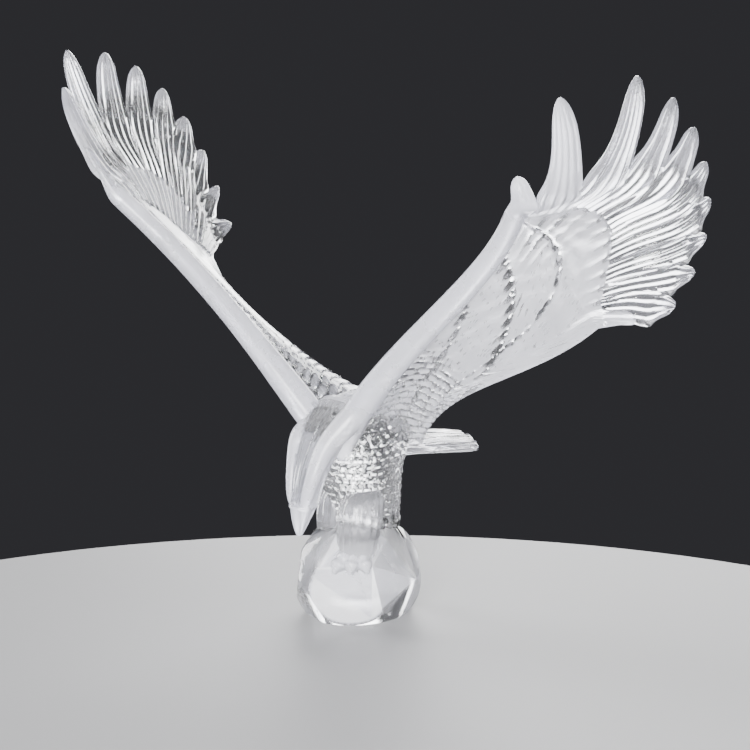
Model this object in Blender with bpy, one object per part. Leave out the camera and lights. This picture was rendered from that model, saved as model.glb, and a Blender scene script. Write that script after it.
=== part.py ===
"""Landing eagle, cast in one piece of clear glass on its own rounded rock.

The scene is in metres and the sizes below are in millimetres. +Z is up and the origin is on the
ground under the rock. The bird heads along -Y, its left wing is on +X and its tail on +Y.
"""

import math

import bmesh
import bpy
from mathutils import Matrix, Vector

MM = 0.001
NAME = "eagle"
COLLECTION = "eagle_award_figurine"
CUTTERS = "eagle_building_shapes"
UP = Vector((0, 0, 1))
ACROSS = Vector((1, 0, 0))
BACK = Vector((0, 1, 0))
STEP = 0.02  # along a curve, over which its direction is taken

# ------------------------------------------------------- driving dimensions, in millimetres
# Both wings are given as left wings; the right one is mirrored when it is posed. The edges are
# Bezier curves from shoulder to wrist. The outer edge of the wing's web runs through the notches
# between the feathers. The thumb stands free; all but the first two feathers lie on a fan, seen
# along X. The two wings beat slightly out of step, by their pitch about the shoulder.
LEFT = {
    "leading_edge": ((10, -15, 80.5), (36, -24, 117), (70.5, -11, 143), (91, -27, 171)),
    "trailing_edge": ((6, 36, 68), (36, 2, 102), (70, 18, 103), (96, 25, 129)),
    "notches": (
        (93, -32, 173),
        (103, -30.5, 175.5),
        (115, -18, 183),
        (123.5, -2.5, 189),
        (126, 13.5, 188.5),
        (127.5, 30, 188.5),
        (125.5, 40, 180),
        (123, 43, 167.5),
        (119, 41, 156),
        (114, 43, 144),
        (107, 37, 132.5),
    ),
    "thumb": (97.5, -37, 185),
    "fan_start": math.radians(87),
    "fan_sweep": math.radians(-96),
    "fan_ease": 0.8,
    "fan_reach": (75, 72),
    "pitch": math.radians(-6.6),
    "arm_radius": (6.0, 5.2, 4.6, 4.0),
    "ridge_roots": (0.2, 0.08),
    "ridge_offset": 0,
    "ridge_size": 1,
}
RIGHT = {
    "leading_edge": ((10, -15, 80.5), (36, -24, 121), (69.5, -12.5, 138), (92.5, -28, 169)),
    "trailing_edge": ((6, 36, 68), (36, -3, 102), (70, 13, 103), (96, 25, 129)),
    "notches": (
        (93, -30.5, 175),
        (102.5, -27, 178.5),
        (115, -16.5, 184.5),
        (123.5, -3.5, 190),
        (126, 13.5, 190),
        (127.5, 29, 186),
        (125.5, 41, 180.5),
        (123, 43.5, 165),
        (119, 44, 149),
        (114, 45, 139),
        (107, 37, 132.5),
    ),
    "thumb": (102.5, -33.5, 190),
    "fan_start": math.radians(86.5),
    "fan_sweep": math.radians(-97.3),
    "fan_ease": 0.91,
    "fan_reach": (75.8, 73),
    "pitch": math.radians(8.2),
    "arm_radius": (6.0, 4.6, 4.1, 3.8),
    "ridge_roots": (0.09, 0),
    "ridge_offset": 0.12,
    "ridge_size": 0.75,
}
SHOULDER = Vector((14, -15, 87))
LEAD_TIP = (111.5, -34, 214.5)
FAN_CENTRE_Y = -17
FAN_CENTRE_Z = 149.5
FAN_FEATHERS = 8
FAN_TIP_X = (130, 111.4)

ARM_PLACES = (-0.09, 0.0, 0.09, 0.18, 0.27, 0.36, 0.45, 0.54, 0.63, 0.72, 0.81, 0.9, 0.97, 1.03, 1.08, 1.12)
ARM_REACH = 5  # how far the arm runs straight on from the wrist
ARM_THUMB = 0.65  # share of the way to the thumb tip where it ends
ARM_FINGER = 0.12  # how far the arm runs on past the wrist, into the thumb
ARM_NARROWING = 1  # where it begins to narrow, at the wrist
ARM_TIP = 0.38  # share of its radius left at the end
BLADE_HALF_THICKNESS = 1.7
BLADE_THINNING = 0.55  # share lost from the leading to the trailing edge
BLADE_CAMBER = 3.0
CAMBER_FADE = (1.15, 2)  # along the wing, where the arch flattens out
STEADY_CHORD = (0.3, 0.7)  # part of the chord over which the surface's direction is taken
BLADE_PLACES = (0, 0.12, 0.25, 0.4, 0.55, 0.7, 0.85, 1, 1.25, 1.5, 1.75, 1.92)

FEATHER_ROOT = 1.1
ROOTS_CHORD = (0.06, 0.92)  # part of the chord over which the roots are spread
FEATHER_OVERLAP = 0.7
FEATHER_HALF_THICKNESS = 1.8
FEATHER_ROOT_WIDTH = 0.7  # share of the width between the notches
FEATHER_STRAIGHTNESS = 0.85
FEATHER_ROUNDING = 0.65  # share of the free length where the rounded tip begins
FEATHER_FACES = (Vector((-0.93, 0.24, 0.1)), Vector((-1, 0.1, 0.1)), Vector((-0.9, 0, 0.35)))
LEAD_FACES = (Vector((-0.4, 0.9, 0.1)), Vector((-0.91, 0.41, 0)))
FEATHER_WIDTH = (1, 0.9, 1, 1, 1, 1, 1, 1, 1, 1)
FEATHER_TAPER = (0.5, 0.5, 0.5, 0.52, 0.55, 0.6, 0.66, 0.68, 0.7, 0.7)
TAPER_POWER = 0.75
TIP_POWER = 2.6
TIP_END = 0.04  # square of the width left at the very tip
TIP_THINNING = 0.25  # share of the thickness lost from the notches to the tip
TIP_THICKNESS = 0.35  # share of the thickness kept where the tip closes
FEATHER_PLACES = (0, 0.2, 0.4, 0.58, 0.72, 0.83, 0.91, 0.965, 1)

HEAD_STATIONS = (
    # centre X, centre Y, centre Z, half width, half depth
    (0, -8, 86, 11.5, 6),
    (0.3, -16, 82, 11.6, 7),
    (1.1, -24, 74, 9.5, 7.4),
    (1.6, -30, 65, 7.2, 7.3),
    (1.5, -33, 56, 5.8, 6.8),
    (0.9, -33.5, 50, 4.8, 6.0),
    (0.3, -34, 45, 3.4, 4.5),
    (0, -34.3, 41, 2.1, 2.8),
    (0, -34.5, 38.5, 0.9, 1.4),
)
RIDGE_PLACES = (
    # along the head's stations, share of its half width
    (2, 0.8),
    (3, 0.8),
    (3.9, 0.72),
    (4.5, 0.6),
    (5.0, 0.4),
)
RIDGE_ABOVE = 0.42  # share of the head's half depth
RIDGE_RADIUS = (5.0, 5.5, 4.4, 3.4, 2.7, 2.1, 1.1)
RIDGE_SLIMMING = (0.15, 0.4)  # along the ridge, where it takes its side's size

TRUNK_STATIONS = (
    # height, half width, half depth, centre Y
    (22, 13, 14, 4),
    (34, 13, 14, 5),
    (46, 13.3, 14.6, 4.8),
    (60, 15, 17.3, 3),
    (72, 16.8, 20.8, 3),
    (81, 16, 21, 3),
    (87, 11, 16, 2),
    (90, 5, 8, 1),
)
TRUNK_SQUARENESS = 2.3

LEG_STATIONS = (
    # centre Y, centre Z, radius
    (-2, 54, 2.5),
    (-4.5, 52.3, 6),
    (-6.2, 49.5, 8.4),
    (-7.4, 45, 9.2),
    (-8.4, 39, 9),
    (-9.2, 32, 8),
    (-9.8, 26, 7),
    (-10, 21, 6),
)
LEGS = (
    # across, set back, size
    (8.5, 0, 1),
    (-7, 4.5, 0.88),
)
ANKLE_Y = -10
ANKLE_Z = 27.5
TOE_TIPS = ((8.5, -3.5), (4, -8.5), (-2, -11.5))
TOE_TIP_Z = 21.5
KNUCKLE_REACH = 0.25
KNUCKLE_RISE = 3
TOE_RADII = (3.6, 3.5, 3.1, 3.0, 2.4, 0.9)

TAIL_STATIONS = (
    # middle feather's Y and Z, side feathers' Y and Z, half spread, half width, half thickness
    (8, 69, 8, 67.5, 6, 3.4, 5),
    (28, 68, 28, 65.5, 7, 3.4, 3.6),
    (44, 66, 44, 63, 8, 3.5, 2.6),
    (58, 64, 58, 61, 9.2, 3.6, 2.0),
    (67, 62.5, 64, 60.3, 9.7, 3.3, 1.6),
    (70, 62, 66.5, 60, 9.8, 1.6, 0.8),
)
TAIL_FEATHERS = 5
TAIL_ROLL = math.radians(30)
TAIL_SQUARENESS = 2.4

ROCK_STATIONS = (
    # height, half width, half depth
    (0, 19, 22.2),
    (3, 21.6, 24.8),
    (9, 23.8, 27.2),
    (16, 24.4, 28),
    (24, 23.2, 26.5),
    (31, 19.8, 22.5),
    (36, 14, 16),
    (38, 8, 9),
)
ROCK_CENTRE = Vector((0, 1, 0))
ROCK_FACETS = (
    # outward direction, distance from the rock's foot
    ((0.643, -0.766, 0.03), 20.8),
    ((0.5, -0.62, 0.6), 30.5),
    ((-0.75, -0.6, 0.1), 25.2),
    ((0.97, -0.2, 0.16), 23),
    ((0.9, -0.35, -0.3), 20.5),
    ((-0.35, -0.85, -0.5), 17.6),
    ((0.85, 0.3, 0.45), 29),
    ((0.95, 0.1, -0.28), 18.4),
    ((-0.8, -0.35, 0.45), 30),
    ((-0.9, 0.3, -0.15), 21),
    ((0.2, 0.9, 0.3), 29),
    ((-0.35, 0.9, -0.25), 22),
)

GLASS_COLOUR = (0.86, 0.87, 0.92, 1)
GLASS_ROUGHNESS = 0.12


def bezier(points, t):
    """Point at t on the Bezier curve of any number of control points."""
    row = [Vector(p) for p in points]
    while len(row) > 1:
        row = [a.lerp(b, t) for a, b in zip(row, row[1:])]
    return row[0]


def blend(values, t):
    """Value at t along evenly spaced values, straight between them."""
    place = min(max(t, 0), 1) * (len(values) - 1)
    i = min(int(place), len(values) - 2)
    return values[i] + (values[i + 1] - values[i]) * (place - i)


def ease(low, high, x):
    """0 below low, 1 above high, smooth between."""
    t = min(max((x - low) / (high - low), 0), 1)
    return t * t * (3 - 2 * t)


def clear_scene():
    for thing in list(bpy.data.objects):
        bpy.data.objects.remove(thing, do_unlink=True)


def collection(name):
    found = bpy.data.collections.get(name) or bpy.data.collections.new(name)
    if name not in bpy.context.scene.collection.children:
        bpy.context.scene.collection.children.link(found)
    return found


def loft(name, rings, home):
    """Closed solid through rings of equal length, with a flat cap at each end."""
    bm = bmesh.new()
    rows = [[bm.verts.new(p * MM) for p in ring] for ring in rings]
    count = len(rows[0])
    for low, high in zip(rows, rows[1:]):
        for i in range(count):
            j = (i + 1) % count
            bm.faces.new((low[i], low[j], high[j], high[i]))
    bm.faces.new(rows[0][::-1])
    bm.faces.new(rows[-1])
    bmesh.ops.recalc_face_normals(bm, faces=bm.faces)
    mesh = bpy.data.meshes.new(name)
    bm.to_mesh(mesh)
    bm.free()
    thing = bpy.data.objects.new(name, mesh)
    home.objects.link(thing)
    return thing


def oval(centre, side, depth, half_side, half_depth, count, squareness=2.0):
    """Ring around a centre: an ellipse, or a squarer outline where squareness is over 2."""
    ring = []
    for i in range(count):
        angle = 2 * math.pi * i / count
        c = math.copysign(abs(math.cos(angle)) ** (2 / squareness), math.cos(angle))
        s = math.copysign(abs(math.sin(angle)) ** (2 / squareness), math.sin(angle))
        ring.append(centre + side * half_side * c + depth * half_depth * s)
    return ring


def tube(name, centre, places, radius, toward, count, home):
    """Round bar along a curve, with the radius given at each place."""
    rings = []
    for place in places:
        ahead = (centre(place + STEP / 2) - centre(place - STEP / 2)).normalized()
        side = ahead.cross(toward).normalized()
        depth = side.cross(ahead).normalized()
        rings.append(oval(centre(place), side, depth, radius(place), radius(place), count))
    return loft(name, rings, home)


def evenly(steps):
    return [i / steps for i in range(steps + 1)]


# ------------------------------------------------------------------------------------- wings


def feather_tips(side):
    """Tips of all the feathers of a wing, from the thumb to the rearmost."""
    tips = [Vector(side["thumb"]), Vector(LEAD_TIP)]
    for i in range(FAN_FEATHERS):
        t = i / (FAN_FEATHERS - 1)
        angle = side["fan_start"] + side["fan_sweep"] * t ** side["fan_ease"]
        reach = blend(side["fan_reach"], t)
        x = FAN_TIP_X[0] + (FAN_TIP_X[1] - FAN_TIP_X[0]) * t**3
        y = FAN_CENTRE_Y + reach * math.cos(angle)
        z = FAN_CENTRE_Z + reach * math.sin(angle)
        tips.append(Vector((x, y, z)))
    return tips


def wing_surface(side, u, v):
    """Middle surface: u 0 to 1 along the arm, 1 to 2 out to the feather notches; v is chordwise."""
    arm_u = min(u, 1)
    lead = bezier(side["leading_edge"], arm_u)
    trail = bezier(side["trailing_edge"], arm_u)
    point = lead.lerp(trail, v)
    if u > 1:
        point = point.lerp(blend([Vector(p) for p in side["notches"]], v), u - 1)
    return point


def wing_normal(side, u, v):
    along = wing_surface(side, min(u + STEP, 2), v) - wing_surface(side, max(u - STEP, 0), v)
    across = wing_surface(side, u, min(v + STEP, 1)) - wing_surface(side, u, max(v - STEP, 0))
    return along.cross(across).normalized()


def steady_normal(side, u, v):
    """Normal of the middle surface, taken well inside the wing's two edges."""
    return wing_normal(side, u, STEADY_CHORD[0] + (STEADY_CHORD[1] - STEADY_CHORD[0]) * v)


def camber(u, v):
    """How far the wing arches above its flat middle surface."""
    return BLADE_CAMBER * 4 * v * (1 - v) * (1 - ease(*CAMBER_FADE, u))


def blade(name, side, home):
    """Arm and hand web of the wing, as one thin cambered sheet."""
    rings = []
    chord = len(side["notches"]) - 1
    for u in BLADE_PLACES:
        top = []
        under = []
        for j in range(chord + 1):
            v = j / chord
            middle = wing_surface(side, u, v)
            normal = steady_normal(side, u, v)
            half = BLADE_HALF_THICKNESS * (1 - BLADE_THINNING * v)
            top.append(middle + normal * (camber(u, v) + half))
            under.append(middle + normal * (camber(u, v) - half))
        rings.append(top + under[::-1])
    return loft(name, rings, home)


def feather(name, side, number, tip, home):
    """Flight feather: from its root in the wing, out between two notches, to a rounded tip."""
    first = Vector(side["notches"][number])
    second = Vector(side["notches"][number + 1])
    v = (number + 0.5) / len(FEATHER_WIDTH)
    place = ROOTS_CHORD[0] + (ROOTS_CHORD[1] - ROOTS_CHORD[0]) * v
    root = wing_surface(side, FEATHER_ROOT, place)
    root += steady_normal(side, FEATHER_ROOT, v) * camber(FEATHER_ROOT, v)
    face = LEAD_FACES[number] if number < len(LEAD_FACES) else bezier(FEATHER_FACES, v)
    base = (first + second) / 2
    notch = (base - root).length / ((base - root).length + (tip - base).length)
    knee = (base - root * (1 - notch) ** 2 - tip * notch**2) / (2 * notch * (1 - notch))
    line = (root, base.lerp(knee, FEATHER_STRAIGHTNESS), tip)
    half_width = ((first - second).length / 2 + FEATHER_OVERLAP) * FEATHER_WIDTH[number]
    rings = []
    for t in FEATHER_PLACES:
        ahead = (bezier(line, t + STEP / 2) - bezier(line, t - STEP / 2)).normalized()
        broad = ahead.cross(face).normalized()
        depth = broad.cross(ahead).normalized()
        past = max(t - notch, 0) / (1 - notch)
        taper = 1 - FEATHER_TAPER[number] * past**TAPER_POWER
        rounded = max((past - FEATHER_ROUNDING) / (1 - FEATHER_ROUNDING), 0)
        close = math.sqrt(max(1 - rounded**TIP_POWER, TIP_END))
        inside = FEATHER_ROOT_WIDTH + (1 - FEATHER_ROOT_WIDTH) * min(t / notch, 1)
        wide = half_width * inside * taper * close
        thinner = (1 - TIP_THINNING * past) * (TIP_THICKNESS + (1 - TIP_THICKNESS) * close)
        thick = FEATHER_HALF_THICKNESS * thinner
        rings.append(oval(bezier(line, t), broad, depth, wide, thick, 8))
    return loft(name, rings, home)


def arm(name, side, home):
    """Round leading edge, from inside the shoulder past the wrist into the thumb."""
    wrist = bezier(side["leading_edge"], 1)
    ahead = (wrist - bezier(side["leading_edge"], 1 - STEP)).normalized()
    finger = (wrist, wrist + ahead * ARM_REACH, wrist.lerp(Vector(side["thumb"]), ARM_THUMB))

    def centre(t):
        return bezier(side["leading_edge"], t) if t < 1 else bezier(finger, (t - 1) / ARM_FINGER)

    def radius(t):
        narrowing = ease(ARM_NARROWING, ARM_NARROWING + ARM_FINGER, t)
        return blend(side["arm_radius"], t) * (1 - (1 - ARM_TIP) * narrowing)

    return tube(name, centre, ARM_PLACES, radius, BACK, 10, home)


def pose(side):
    """The turn that sets a wing on its shoulder, mirrored for the right one."""
    pivot = Matrix.Translation(SHOULDER * MM)
    turn = pivot @ Matrix.Rotation(side["pitch"], 4, "X") @ pivot.inverted()
    return Matrix.Scale(-1, 4, ACROSS) @ turn if side is RIGHT else turn


def wing(side_name, side, home):
    shapes = [blade(side_name + "_blade", side, home), arm(side_name + "_arm", side, home)]
    for number, tip in enumerate(feather_tips(side)):
        shapes.append(feather("%s_feather_%d" % (side_name, number + 1), side, number, tip, home))
    for shape in shapes:
        shape.data.transform(pose(side))
        if side is RIGHT:
            shape.data.flip_normals()
    return shapes


# -------------------------------------------------------------------------------------- body


def trunk(home):
    """Trunk, from inside the rock up to the saddle between the wings."""
    rings = []
    for z, half_width, half_depth, y in TRUNK_STATIONS:
        centre = Vector((0, y, z))
        rings.append(oval(centre, ACROSS, BACK, half_width, half_depth, 16, TRUNK_SQUARENESS))
    return loft("trunk", rings, home)


def head_frame(place):
    """Centre, half width, half depth and upward direction of the bowed head at a station."""
    i = min(int(place), len(HEAD_STATIONS) - 2)
    low = HEAD_STATIONS[i]
    high = HEAD_STATIONS[i + 1]
    x, y, z, half_width, half_depth = [a + (b - a) * (place - i) for a, b in zip(low, high)]
    before = HEAD_STATIONS[max(i - 1, 0)] if place == i else low
    ahead = Vector((0, high[1] - before[1], high[2] - before[2])).normalized()
    return Vector((x, y, z)), half_width, half_depth, ahead.cross(ACROSS).normalized()


def head(home):
    """Neck and bowed head, hanging in front of the breast, ending in the hooked beak."""
    rings = []
    for place in range(len(HEAD_STATIONS)):
        centre, half_width, half_depth, depth = head_frame(place)
        rings.append(oval(centre, ACROSS, depth, half_width, half_depth, 14))
    return loft("head", rings, home)


def crown_ridge(name, side, home):
    """Ridge from the wing's leading edge, over the shoulder and down one side of the crown."""
    sign = -1 if side is RIGHT else 1
    points = []
    for t in side["ridge_roots"]:
        points.append(pose(side) @ (bezier(side["leading_edge"], t) * MM) / MM)
    for place, share in RIDGE_PLACES:
        centre, half_width, half_depth, depth = head_frame(place)
        out = sign * (share + side["ridge_offset"]) * half_width
        points.append(centre + ACROSS * out + depth * RIDGE_ABOVE * half_depth)

    def centre_line(t):
        return blend(points, t)

    def radius(t):
        slimmer = 1 + (side["ridge_size"] - 1) * ease(*RIDGE_SLIMMING, t)
        return blend(RIDGE_RADIUS, t) * slimmer

    return tube(name, centre_line, evenly(len(points) - 1), radius, Vector((0, 1, -1)), 8, home)


def leg(name, across, back, size, home):
    """Feathered thigh, rounded at its top, down to the ankle."""
    rings = []
    for y, z, radius in LEG_STATIONS:
        rings.append(oval(Vector((across, y + back, z)), ACROSS, BACK, radius * size, radius * size, 12))
    return loft(name, rings, home)


def toe(name, across, back, size, reach, home):
    """Thick toe from the ankle over the shoulder of the rock, ending in a claw."""
    outward = math.copysign(1, across)
    ankle = Vector((across, back + ANKLE_Y, ANKLE_Z))
    tip = Vector((across + outward * reach[0], back + ANKLE_Y + reach[1], TOE_TIP_Z))
    spread = Vector((outward * reach[0], reach[1], 0)) * KNUCKLE_REACH
    line = (ankle, (ankle + tip) / 2 + spread + UP * KNUCKLE_RISE, tip)

    def centre(t):
        return bezier(line, t)

    def radius(t):
        return size * blend(TOE_RADII, t)

    return tube(name, centre, evenly(len(TOE_RADII) - 1), radius, UP, 8, home)


def tail(home):
    """Closed, arched fan of broad feathers."""
    shapes = []
    for i in range(TAIL_FEATHERS):
        spread = 2 * i / (TAIL_FEATHERS - 1) - 1
        share = spread * spread
        side = Matrix.Rotation(TAIL_ROLL * spread, 3, "Y") @ ACROSS
        rings = []
        for middle_y, middle_z, side_y, side_z, half_spread, half_width, half_depth in TAIL_STATIONS:
            y = middle_y + (side_y - middle_y) * share
            z = middle_z + (side_z - middle_z) * share
            centre = Vector((half_spread * spread, y, z))
            rings.append(oval(centre, side, side.cross(BACK), half_width, half_depth, 8, TAIL_SQUARENESS))
        shapes.append(loft("tail_%d" % i, rings, home))
    return shapes


def rock(home):
    """Rounded rock with a flat underside, chipped to broad flat facets."""
    rings = []
    for z, half_width, half_depth in ROCK_STATIONS:
        rings.append(oval(ROCK_CENTRE + UP * z, ACROSS, BACK, half_width, half_depth, 24))
    stone = loft("rock", rings, home)
    bm = bmesh.new()
    bm.from_mesh(stone.data)
    for direction, distance in ROCK_FACETS:
        normal = Vector(direction).normalized()
        place = (normal * distance + ROCK_CENTRE) * MM
        parts = bm.verts[:] + bm.edges[:] + bm.faces[:]
        cut = bmesh.ops.bisect_plane(bm, geom=parts, plane_co=place, plane_no=normal, clear_outer=True)
        edges = [part for part in cut["geom_cut"] if isinstance(part, bmesh.types.BMEdge)]
        bmesh.ops.contextual_create(bm, geom=edges)
    bmesh.ops.recalc_face_normals(bm, faces=bm.faces)
    bm.to_mesh(stone.data)
    bm.free()
    return stone


# ------------------------------------------------------------------------------------- whole


def glass():
    material = bpy.data.materials.new("clear_glass")
    material.use_nodes = True
    shader = material.node_tree.nodes["Principled BSDF"]
    shader.inputs["Base Color"].default_value = GLASS_COLOUR
    shader.inputs["Roughness"].default_value = GLASS_ROUGHNESS
    shader.inputs["Metallic"].default_value = 0
    return material


def unite(name, shapes, home):
    """One solid out of all the shapes, which stay behind as building shapes.

    The MANIFOLD solver is used because the EXACT one loses parts where many feathers overlap.
    """
    joined = shapes[0].copy()
    joined.data = shapes[0].data.copy()
    joined.name = name
    home.objects.link(joined)
    for number, shape in enumerate(shapes[1:]):
        step = joined.modifiers.new("join_%02d" % number, "BOOLEAN")
        step.operation = "UNION"
        step.solver = "MANIFOLD"
        step.object = shape
    for shape in shapes:
        shape.hide_render = True
        shape.display_type = "WIRE"
    whole = bpy.data.meshes.new_from_object(joined.evaluated_get(bpy.context.evaluated_depsgraph_get()))
    joined.modifiers.clear()
    joined.data = whole
    fill_pockets(whole)
    return joined


def fill_pockets(mesh):
    """Fill the small closed pockets left between overlapping feathers: only the outer skin stays."""
    bm = bmesh.new()
    bm.from_mesh(mesh)
    skin = {max(bm.verts, key=lambda vertex: vertex.co.z)}
    edge_of_skin = list(skin)
    while edge_of_skin:
        vertex = edge_of_skin.pop()
        for edge in vertex.link_edges:
            other = edge.other_vert(vertex)
            if other not in skin:
                skin.add(other)
                edge_of_skin.append(other)
    bmesh.ops.delete(bm, geom=[vertex for vertex in bm.verts if vertex not in skin], context="VERTS")
    bm.to_mesh(mesh)
    bm.free()


def build():
    clear_scene()
    home = collection(COLLECTION)
    shapes_home = collection(CUTTERS)
    shapes = [trunk(shapes_home), head(shapes_home), rock(shapes_home)]
    shapes += tail(shapes_home)
    for side_name, side in (("left", LEFT), ("right", RIGHT)):
        shapes.append(crown_ridge("ridge_" + side_name, side, shapes_home))
        shapes += wing(side_name, side, shapes_home)
    for number, (across, back, size) in enumerate(LEGS):
        shapes.append(leg("leg_%d" % number, across, back, size, shapes_home))
        for i, reach in enumerate(TOE_TIPS):
            shapes.append(toe("toe_%d_%d" % (number, i), across, back, size, reach, shapes_home))
    eagle = unite(NAME, shapes, home)
    eagle.data.materials.append(glass())
    return eagle


build()
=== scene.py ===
"""Landing eagle cast in one piece of frosted and polished glass, on its own rock.

The shapes below are in millimetres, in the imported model's frame: +Z up, the bird heads along -Y,
its left wing is on +X and its tail on +Y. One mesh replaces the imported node. The union leaves the
right eye as a loose piece beside the head, and small cavities where feathers overlap.
"""

import math

import bmesh
import bpy
import numpy as np
from mathutils import Matrix, Vector


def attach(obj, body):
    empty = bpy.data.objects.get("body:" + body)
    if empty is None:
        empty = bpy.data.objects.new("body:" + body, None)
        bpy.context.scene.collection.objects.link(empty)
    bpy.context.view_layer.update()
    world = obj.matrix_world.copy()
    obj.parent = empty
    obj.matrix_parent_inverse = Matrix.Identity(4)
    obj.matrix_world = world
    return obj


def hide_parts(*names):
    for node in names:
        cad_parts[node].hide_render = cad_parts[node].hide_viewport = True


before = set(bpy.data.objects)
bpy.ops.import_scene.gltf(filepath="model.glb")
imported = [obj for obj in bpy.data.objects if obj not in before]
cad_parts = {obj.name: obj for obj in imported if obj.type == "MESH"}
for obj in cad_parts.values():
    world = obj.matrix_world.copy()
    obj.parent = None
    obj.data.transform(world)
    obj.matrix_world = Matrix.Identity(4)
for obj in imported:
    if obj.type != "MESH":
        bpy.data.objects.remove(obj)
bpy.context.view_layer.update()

MM = 0.001
UP = Vector((0, 0, 1))
ACROSS = Vector((1, 0, 0))
BACK = Vector((0, 1, 0))

# --------------------------- frost, from 0 on polished glass to more than 1 on etched glass
FROST = "frost"
KNOWN = 1  # added to every stored value, so that a point with less has no frost of its own yet
CLEAR = 0
SATIN = 0.45
BAND = 0.7
FROSTED = 1
ETCHED = 1.3
HOOD_FROST = 0.3
SCALE_FROST = 0.38
BACK_FROST = 0.7
LEG_FROST = 0.55
ROCK_FROST = 0.35
GLASSES = (
    # name, tint, transmission, frost above which a face is made of it
    ("clear_glass", (0.972, 0.978, 0.998, 1), 0.97, 0),
    ("satin_glass", (0.91, 0.915, 0.985, 1), 0.8, 0.4),
    ("frosted_glass", (0.895, 0.9, 0.98, 1), 0.5, 0.65),
    ("etched_glass", (0.94, 0.945, 0.985, 1), 0.3, 1.1),
)
GLASS_IOR = 1.5
ROUGHNESS = (0.03, 0.38)  # where the frost is 0, and where it is 1
CLOUD_SCALE = 90
CLOUD_DETAIL = 4
CLOUD_RANGE = (0.3, 0.7)  # where almost all of the noise lies
CLOUD_EFFECT = (0.8, 1.2)  # what the two ends of that range multiply the roughness by
GRAIN_SCALE = 700
GRAIN_DETAIL = 3
GRAIN_DEPTH = 0.06
SHARP_ANGLE = math.radians(38)  # edges bent more than this stay crisp

# -------------------------------------------------------------------- stage, in metres
CAMERA_AZIMUTH = math.radians(40)
CAMERA_ELEVATION = math.radians(10)
CAMERA_DISTANCE = 1
CAMERA_TARGET = Vector((0, 0, 0.1118))
CAMERA_SENSOR = 36
CAMERA_LENS = 120
CAMERA_SHIFT = (0.0253, -0.0448)
TABLE_RADIUS = 0.3
TABLE_SHIFT = 0.175  # towards the camera, so that the dark surround shows through the glass
TABLE_CORNERS = 128
TABLE_COLOUR = (0.29, 0.29, 0.3, 1)
TABLE_ROUGHNESS = 0.6
SURROUND_COLOUR = (0.03, 0.03, 0.034, 1)
LIGHT_TARGET = Vector((0, 0, 0.11))
LIGHTS = (
    # name, place, width and height, watts
    ("key", (0.55, -0.85, 0.36), (0.5, 0.5), 32),
    ("back", (-0.35, 0.7, 0.35), (0.7, 0.5), 14),
    ("left", (-0.8, -0.1, 0.3), (0.25, 0.8), 10),
    ("top", (0, 0, 1), (0.6, 0.6), 2),
)

# ------------------------------------------- wings, both given as left ones before posing
LEFT = {
    # curves from the shoulder out to the wrist
    "leading_edge": ((10, -15, 80.5), (36, -24, 117), (70.5, -11, 143), (91, -27, 171)),
    "trailing_edge": ((6, 36, 68), (36, 2, 102), (70, 18, 103), (96, 25, 129)),
    # where the blade ends between the flight feathers, from the leading one back
    "notches": (
        (93, -32, 173),
        (103, -30.5, 175.5),
        (115, -18, 183),
        (123.5, -2.5, 189),
        (126, 13.5, 188.5),
        (127.5, 30, 188.5),
        (125.5, 40, 180),
        (123, 43, 167.5),
        (119, 41, 156),
        (114, 43, 144),
        (107, 37, 132.5),
    ),
    "thumb": (97.5, -37, 185),
    # the fan that the feather tips lie on: its first angle, its sweep and how that eases in, and
    # its radius at both ends
    "fan_start": math.radians(87),
    "fan_sweep": math.radians(-96),
    "fan_ease": 0.8,
    "fan_reach": (75, 72),
    # turn about the shoulder
    "pitch": math.radians(-6.6),
    "arm_radius": (6.0, 5.2, 4.6, 4.0),
    # the ridge from the shoulder to the brow: where it leaves the leading edge, its shift across
    # as a share of the head's half width, and its size
    "ridge_roots": (0.2, 0.08),
    "ridge_offset": 0,
    "ridge_size": 1,
    # the upper face: reach and frost of its coverts, and 1 for a row of beads beside the arm
    "top_rim": 1.7,
    "top_frost": 0.2,
    "top_beads": 0,
    # share of the flight feathers' frost
    "haze": 1,
}
RIGHT = {
    "leading_edge": ((10, -15, 80.5), (36, -24, 121), (69.5, -12.5, 138), (92.5, -28, 169)),
    "trailing_edge": ((6, 36, 68), (36, -3, 102), (70, 13, 103), (96, 25, 129)),
    "notches": (
        (93, -30.5, 175),
        (102.5, -27, 178.5),
        (115, -16.5, 184.5),
        (123.5, -3.5, 190),
        (126, 13.5, 190),
        (127.5, 29, 186),
        (125.5, 41, 180.5),
        (123, 43.5, 165),
        (119, 44, 149),
        (114, 45, 139),
        (107, 37, 132.5),
    ),
    "thumb": (102.5, -33.5, 190),
    "fan_start": math.radians(86.5),
    "fan_sweep": math.radians(-97.3),
    "fan_ease": 0.91,
    "fan_reach": (75.8, 73),
    "pitch": math.radians(8.2),
    "arm_radius": (6.0, 4.6, 4.1, 3.8),
    "ridge_roots": (0.09, 0),
    "ridge_offset": 0.12,
    "ridge_size": 0.75,
    "top_rim": 1.2,
    "top_frost": 0.45,
    "top_beads": 1,
    "haze": 0.75,
}
LEAD_TIP = (111.5, -34, 214.5)
SHOULDER = Vector((14, -15, 87))
FAN_CENTRE_Y = -17
FAN_CENTRE_Z = 149.5
FAN_FEATHERS = 8
FAN_TIP_X = (130, 111.4)  # of the first and the last tip on the fan

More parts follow.
